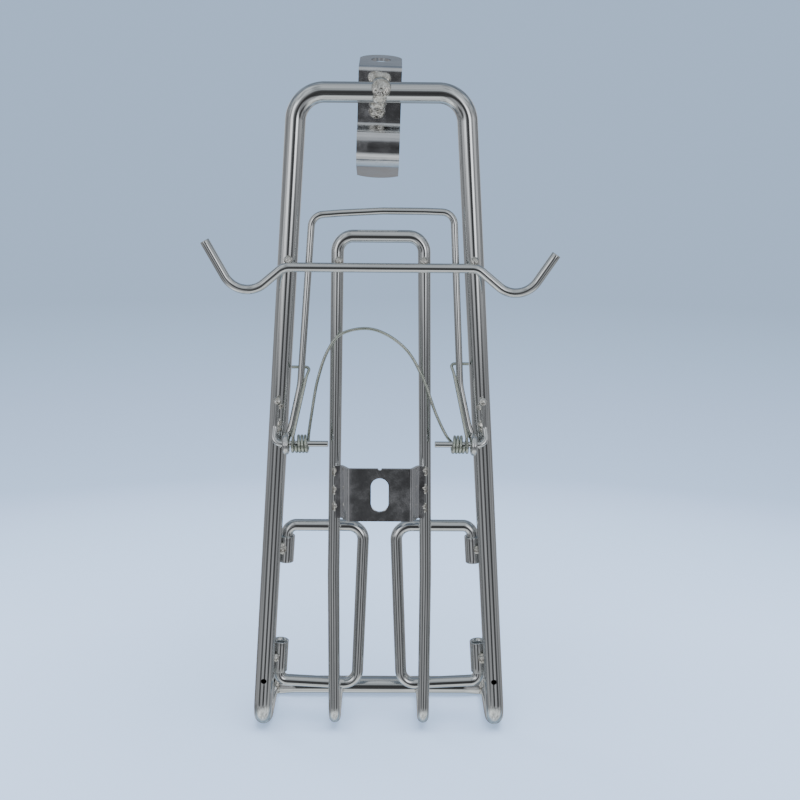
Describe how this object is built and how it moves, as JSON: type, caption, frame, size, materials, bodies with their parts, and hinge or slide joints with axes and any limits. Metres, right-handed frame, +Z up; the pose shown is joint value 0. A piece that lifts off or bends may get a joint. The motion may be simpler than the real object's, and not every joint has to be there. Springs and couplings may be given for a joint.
{
  "type": "folding luggage rack",
  "caption": "Bent steel tube carrier with a sprung clamping bail, fold-out side wings, a bag hook bar, a slotted mounting plate and a hanger strap.",
  "frame": {"origin": "bottom centre of the whole rack's box, on the plane under the feet, with the rack upright on its end, where it has to be held", "axes": "+Z up along the frame from the feet to the hanger strap, +X across the rack, +Y towards the side that carries the luggage"},
  "size_m": [0.2252, 0.0842, 0.4591],
  "materials": {
    "polished_tube": "polished stainless tube and rod",
    "sheet_steel": "polished stainless sheet with fine brushing",
    "spring_wire": "zinc plated spring wire"
  },
  "bodies": {
    "frame": {"outer_frame": "polished_tube", "foot_cap_left": "polished_tube", "foot_cap_right": "polished_tube", "cross_tube": "polished_tube", "inner_hoop": "polished_tube", "hook_bar": "polished_tube", "upper_socket_left": "polished_tube", "lower_socket_left": "polished_tube", "upper_socket_right": "polished_tube", "lower_socket_right": "polished_tube", "pivot_pin_left": "polished_tube", "pivot_pin_right": "polished_tube", "mount_plate": "sheet_steel", "hanger_strap": "sheet_steel", "clip_spring": "spring_wire"},
    "bail": {"spring_bail": "polished_tube", "spring_leg_left": "spring_wire", "spring_leg_right": "spring_wire"},
    "wing_left": {"side_wing_left": "polished_tube"},
    "wing_right": {"side_wing_right": "polished_tube"}
  },
  "joints": [
    {"name": "bail_hinge", "type": "hinge", "parent": "frame", "child": "bail", "pos_m": [0, -0.0349, 0.214], "axis": [-1, 0, 0], "range_deg": [0, 100], "stiffness_Nm_per_rad": 0.4, "springref_deg": -45.84},
    {"name": "left_wing_hinge", "type": "hinge", "parent": "frame", "child": "wing_left", "pos_m": [-0.06624, -0.01462, 0.09412], "axis": [0.0696, 0, 0.9976], "range_deg": [-2.5, 156]},
    {"name": "right_wing_hinge", "type": "hinge", "parent": "frame", "child": "wing_right", "pos_m": [0.06624, -0.01462, 0.09412], "axis": [0.0696, 0, -0.9976], "range_deg": [-2.5, 156]}
  ]
}
